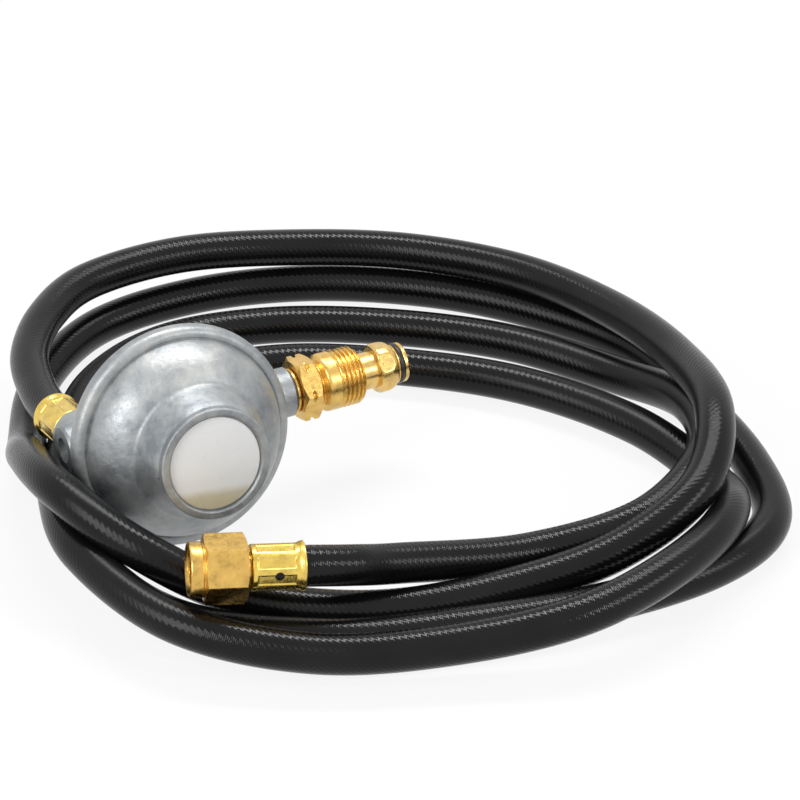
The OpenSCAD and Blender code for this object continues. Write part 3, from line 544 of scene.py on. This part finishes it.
def ferrule(name, place):
    outside = eased([(7.62, 0.35, 0), (8.2, 0.0, 0.2), (9.1, 0.1, 0.35), (9.25, 0.7, 0.4),
                     (8.95, 1.6, 0.8), (FERRULE_R, 2.7, 0.9), (FERRULE_R, 3.4, 0)], 4)
    return turned(name, [
        *outside, *close_rows([(FERRULE_R, 3.45), (FERRULE_R, 17.9)], 0.22, True),
        *eased([(FERRULE_R, 18.3, 0), (8.4, 19.2, 0.5), (7.6, 19.6, 0.4), (5.6, 19.6, 0)], 5),
        (4.0, 19.6), (4.0, 18.7), (7.62, 18.6)], place, 192, cut=crimped, crease=40)


outlet_shell = ferrule("outlet_ferrule_shell", outlet_place
                       @ Matrix.Translation((0, 0, OUTLET_MOUTH)) @ Matrix.Rotation(pi, 4, "X"))
ferrule_brass = turned_brass("crimped_brass", (0.78, 0.56, 0.13), 0.19, 0.0009)
ferrule_brass.on(outlet_shell)
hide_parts("outlet_ferrule")
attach(outlet_shell, "regulator")
valve_brass.on(nodes["outlet_tail"])

# ---- Gas hose ------------------------------------------------------------------
# Black rubber hose over a textile ply, 15 mm outside and 8 mm inside, with the
# fine cloth print that the curing wrap leaves on its cover.  About 3 m long.

HOSE_THICK = 0.015
flare_place = (Matrix.Translation((-0.016043, -0.087829, 0.032))
               @ Matrix.Rotation(radians(163.8), 4, "Z")
               @ Matrix.Rotation(radians(85.4), 4, "Y"))

# The coil's points are in a frame of their own, 26.2 degrees from the regulator's.
COIL_TURN = 26.2
coil_place = (Matrix.Translation((RIM_MIDDLE[0], RIM_MIDDLE[1], 0))
              @ Matrix.Rotation(radians(-COIL_TURN), 4, "Z")
              @ Matrix.Translation((0.081, 0.088, 0)))
coil = [
    (-0.138, -0.039, 0.029), (-0.144, -0.012, 0.028), (-0.140, 0.018, 0.028),
    (-0.125, 0.045, 0.028), (-0.090, 0.067, 0.027), (-0.046, 0.078, 0.024),
    (0.002, 0.077, 0.023), (0.048, 0.059, 0.024), (0.083, 0.024, 0.028),
    (0.106, -0.019, 0.034), (0.117, -0.070, 0.042), (0.109, -0.109, 0.033),
    (0.078, -0.130, 0.019), (0.035, -0.142, 0.010), (-0.011, -0.151, 0.008),
    (-0.057, -0.148, 0.012), (-0.095, -0.141, 0.029), (-0.123, -0.119, 0.038),
    (-0.138, -0.083, 0.028), (-0.143, -0.046, 0.010), (-0.142, 0.000, 0.008),
    (-0.123, 0.041, 0.008), (-0.085, 0.066, 0.008), (-0.038, 0.076, 0.008),
    (0.012, 0.071, 0.008), (0.056, 0.054, 0.008), (0.094, 0.026, 0.008),
    (0.117, -0.015, 0.008), (0.134, -0.057, 0.008), (0.138, -0.095, 0.008),
    (0.116, -0.124, 0.008), (0.072, -0.147, 0.008), (0.023, -0.161, 0.008),
    (-0.025, -0.168, 0.008), (-0.077, -0.158, 0.008), (-0.110, -0.124, 0.008),
    (-0.116, -0.079, 0.008), (-0.109, -0.038, 0.008), (-0.087, 0.000, 0.008),
    (-0.046, 0.015, 0.008), (0.005, 0.011, 0.008), (0.051, -0.003, 0.008),
    (0.092, -0.031, 0.008), (0.117, -0.066, 0.008), (0.121, -0.108, 0.022),
    (0.102, -0.142, 0.024), (0.066, -0.169, 0.020), (0.020, -0.179, 0.014),
    (-0.030, -0.183, 0.013), (-0.079, -0.172, 0.018), (-0.115, -0.135, 0.022),
    (-0.127, -0.094, 0.019), (-0.129, -0.056, 0.008), (-0.122, -0.005, 0.008),
    (-0.096, 0.029, 0.008), (-0.054, 0.043, 0.008), (-0.005, 0.042, 0.008),
    (0.044, 0.030, 0.008), (0.086, 0.004, 0.009), (0.111, -0.033, 0.020),
    (0.114, -0.075, 0.025), (0.090, -0.108, 0.019), (0.047, -0.121, 0.012),
    (0.000, -0.140, 0.021), (-0.018, -0.151, 0.028),
]

SHORT_OF_END = 0.0011                      # hose stops this far inside the ferrule's end
outlet_in = outlet_place @ Vector((0, 0, OUTLET_MOUTH - FERRULE_LONG + SHORT_OF_END))
outlet_mouth = outlet_place @ Vector((0, 0, OUTLET_MOUTH))
flare_mouth = flare_place @ Vector((0, 0, 0))
flare_in = flare_place @ Vector((0, 0, FERRULE_LONG - SHORT_OF_END))

knots = [outlet_mouth, *[coil_place @ Vector(p) for p in coil], flare_mouth]
before = outlet_mouth - (knots[1] - knots[0]).length * (outlet_mouth - outlet_in).normalized()
after = flare_mouth + (knots[-1] - knots[-2]).length * (flare_in - flare_mouth).normalized()
guide = [before, *knots, after]


def along_hose(u):
    """Point of the smooth curve through the knots, u from 0 at the outlet."""
    i = min(int(u), len(knots) - 2)
    t = u - i
    a, b, c, d = guide[i:i + 4]
    return 0.5 * (2 * b + t * (c - a) + t * t * (2 * a - 5 * b + 4 * c - d)
                  + t ** 3 * (3 * b - a - 3 * c + d))


STEPS_EACH = 15
hose_line = [outlet_in.lerp(outlet_mouth, k / 6) for k in range(6)]
hose_line += [along_hose(k / STEPS_EACH) for k in range((len(knots) - 1) * STEPS_EACH)]
hose_line += [flare_mouth.lerp(flare_in, k / 6) for k in range(7)]


def swept(name, line, outer, inner, sides):
    """Tube along a line, with UVs in metres: round the tube, and along it."""
    points, faces, run = [], [], [0.0]
    for a, b in zip(line, line[1:]):
        run.append(run[-1] + (b - a).length)
    for radius in (outer, inner):
        for i, p in enumerate(line):
            t = (line[min(i + 1, len(line) - 1)] - line[max(i - 1, 0)]).normalized()
            s = t.cross(Vector((0, 0, 1))).normalized()
            w = s.cross(t)
            points += [p + radius * (cos(2 * pi * k / sides) * s + sin(2 * pi * k / sides) * w)
                       for k in range(sides)]
    n, m = len(line), len(line) * sides
    for i in range(n - 1):
        for k in range(sides):
            a, b = i * sides + k, i * sides + (k + 1) % sides
            faces.append((a, b, b + sides, a + sides))
            faces.append((m + a, m + a + sides, m + b + sides, m + b))
    for k in range(sides):
        a, b = k, (k + 1) % sides
        faces.append((a, m + a, m + b, b))
        e = (n - 1) * sides
        faces.append((e + a, e + b, m + e + b, m + e + a))
    piece = mesh_piece(name, points, faces)
    round_tube = 2 * pi * outer
    uv = piece.data.uv_layers.new(name="along_tube")
    for poly in piece.data.polygons:
        last = max(piece.data.loops[j].vertex_index % sides for j in poly.loop_indices)
        for j in poly.loop_indices:
            v = piece.data.loops[j].vertex_index
            k, i = v % sides, (v % m) // sides
            if last == sides - 1 and k == 0:
                k = sides
            uv.data[j].uv = (k / sides * round_tube, run[i])
        poly.use_smooth = True
    return piece


HOSE_BORE = 0.008
hose = swept("hose_cover", hose_line, HOSE_THICK / 2, HOSE_BORE / 2, 28)
cover = Finish("ribbed_hose_rubber", (0.012, 0.012, 0.013), 0.0, 0.34)
cover.skin.inputs["IOR"].default_value = 1.3
strands = cover.node("SeparateXYZ")
link(cover.tree, cover.node("UVMap").outputs["UV"], strands.inputs[0])
around, lengthways = strands.outputs[0], strands.outputs[1]


def weave_wave(pitch_along, turns_round):
    """Wave along the hose that also shifts as it goes round, a whole number of times."""
    a = cover.worked("MULTIPLY", lengthways, 2 * pi / pitch_along)
    b = cover.worked("MULTIPLY", around, turns_round / (HOSE_THICK / 2))
    return cover.worked("SINE", cover.worked("ADD", a, b))


ribs = weave_wave(0.00072, 0)
twill = weave_wave(0.0024, 20)
cross = weave_wave(0.0024, -20)
cloth = cover.worked("ADD", twill, cover.worked("MULTIPLY", cross, 0.3))
cover.bump((ribs, 0.000016), (cloth, 0.00002), (cover.specks(900, 3), 0.00002))
cover.rough(cover.spread(cover.specks(60, 5), 0.3, 0.7, 0.13, 0.22))
cover.shades(cover.specks(45, 5), (0.35, (0.0035, 0.0035, 0.004)), (0.65, (0.007, 0.007, 0.0075)))
cover.on(hose)
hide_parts("hose")
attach(hose, "regulator")

# ---- Free ferrule -------------------------------------------------------------------
# The same crimped shell on the hose's free end, with a small inspection hole that
# shows the cover under it.  Inside it sits the flare fitting's barbed tail.

flare_shell = ferrule("flare_ferrule_shell", flare_place)
SIGHT_HOLE, SIGHT_TURN, SIGHT_UP = 3.4, 100, 9.8
drilled(flare_shell, beside(SIGHT_TURN, 7.2, SIGHT_UP), beside(SIGHT_TURN, 11, SIGHT_UP),
        SIGHT_HOLE)
ferrule_brass.on(flare_shell)
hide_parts("flare_ferrule")
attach(flare_shell, "regulator")
valve_brass.on(nodes["flare_tail"])

# ---- Flare nut ------------------------------------------------------------------------
# A forged and turned brass swivel nut on the tail's collar, 5/8-18 inside, that pulls
# the flare seat onto the appliance's fitting.

FLARE_PITCH = 1.411                        # 18 turns to the inch
FLARE_FLATS = 22.2
flare_hexagon = across_flats(FLARE_FLATS, radians(3))


def flare_skin(r, z, a):
    """Hexagon outside, right-hand thread in the bore."""
    if r > 8.6:
        return min(r, flare_hexagon(a))
    phase = (z / FLARE_PITCH - a / (2 * pi)) % 1.0
    crest = min(1.0, max(0.0, (abs(2 * phase - 1) - 0.15) / 0.6))
    return 8.0 - 0.62 * (1 - crest) * min(1.0, (z - 28.5) / 1.0) * min(1.0, (41.2 - z) / 1.2)


flare_nut = turned("flare_nut_brass", [
    (5.55, 20.8), (7.0, 20.8),
    *close_rows([(10.9, 20.8), (12.85, 21.75), (12.85, 35.4), (11.2, 36.0)], 0.16, True),
    *eased([(10.2, 36.0, 0), (9.75, 36.1, 0.2), (9.75, 36.6, 0.2), (10.0, 36.9, 0.2),
            (10.0, 40.8, 0.5), (9.6, 41.4, 0.4), (9.0, 41.4, 0.3), (8.15, 40.8, 0)], 4),
    *close_rows([(8.0, 40.7), (8.0, 28.6)], 0.13, True),
    (8.24, 28.4), (8.24, 23.5), (5.55, 23.5)], flare_place, 192, cut=flare_skin, crease=27)
turned_brass("flare_brass", (0.70, 0.44, 0.12), 0.24).on(flare_nut)
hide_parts("flare_nut")
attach(flare_nut, "hose_nut")
